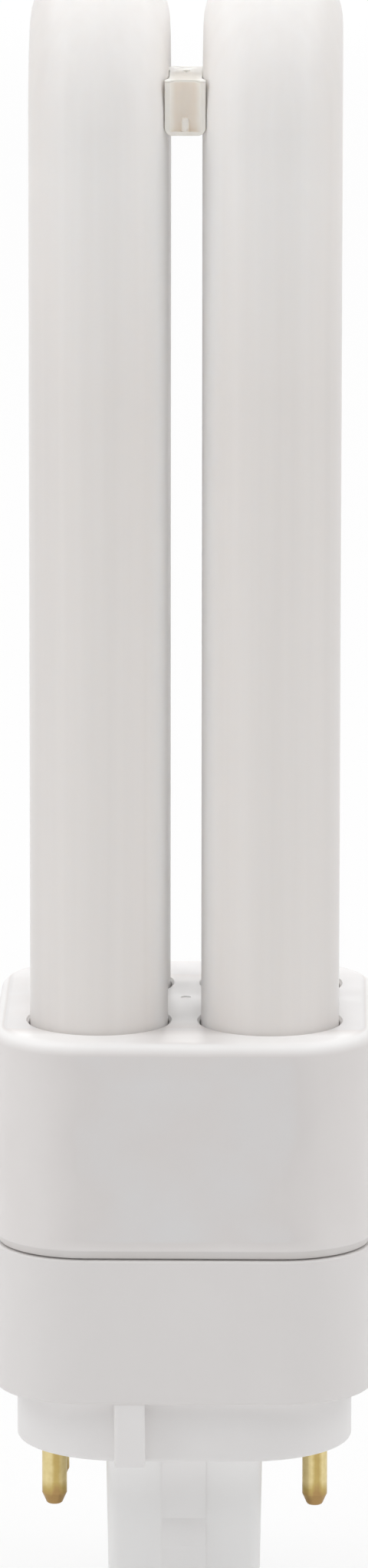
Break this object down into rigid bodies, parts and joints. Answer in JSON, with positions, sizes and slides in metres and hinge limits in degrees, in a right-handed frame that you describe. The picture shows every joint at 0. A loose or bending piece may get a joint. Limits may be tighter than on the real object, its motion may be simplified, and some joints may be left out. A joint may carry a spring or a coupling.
{
  "type": "led plug-in lamp",
  "caption": "Plug-in lamp with two opal U tubes in a square cap, on a keyed base with contact pins and a latching centre post.",
  "frame": {"origin": "middle of the four contact pins, on the seating plane under the collar", "axes": "+Z from the pins towards the tube bends, X across the two U tubes, -Y towards the front legs"},
  "size_m": [0.033, 0.0344, 0.1459],
  "materials": {
    "housing_plastic": "satin moulded white",
    "opal_tube": "opal white, smooth",
    "clip_plastic": "cream, slightly translucent",
    "pin_brass": "turned",
    "driver_laminate": "solder mask",
    "strip_laminate": "white solder mask",
    "led_phosphor": "clear resin over phosphor",
    "ferrite": "sintered",
    "winding_tape": "polyester tape",
    "capacitor_sleeve": "shrink sleeve",
    "chip_resin": "moulded epoxy",
    "film_case": "dipped",
    "resistor_coat": "lacquered",
    "tinned_wire": "tinned"
  },
  "bodies": {
    "root": {"base_shell": "housing_plastic", "top_cap": "housing_plastic", "u_tube_left": "opal_tube", "u_tube_right": "opal_tube", "spacer_clip": "clip_plastic", "driver_board": "driver_laminate", "transformer_core": "ferrite", "transformer_winding": "winding_tape", "bulk_capacitor": "capacitor_sleeve", "bridge_rectifier": "chip_resin", "driver_chip": "chip_resin", "film_capacitor": "film_case", "fusible_resistor": "resistor_coat", "contact_pin_front_left": "pin_brass", "pin_lead_front_left": "tinned_wire", "led_strip_front_left": "strip_laminate", "led_packages_front_left": "led_phosphor", "contact_pin_front_right": "pin_brass", "pin_lead_front_right": "tinned_wire", "led_strip_front_right": "strip_laminate", "led_packages_front_right": "led_phosphor", "contact_pin_rear_left": "pin_brass", "pin_lead_rear_left": "tinned_wire", "led_strip_rear_left": "strip_laminate", "led_packages_rear_left": "led_phosphor", "contact_pin_rear_right": "pin_brass", "pin_lead_rear_right": "tinned_wire", "led_strip_rear_right": "strip_laminate", "led_packages_rear_right": "led_phosphor"}
  },
  "joints": []
}
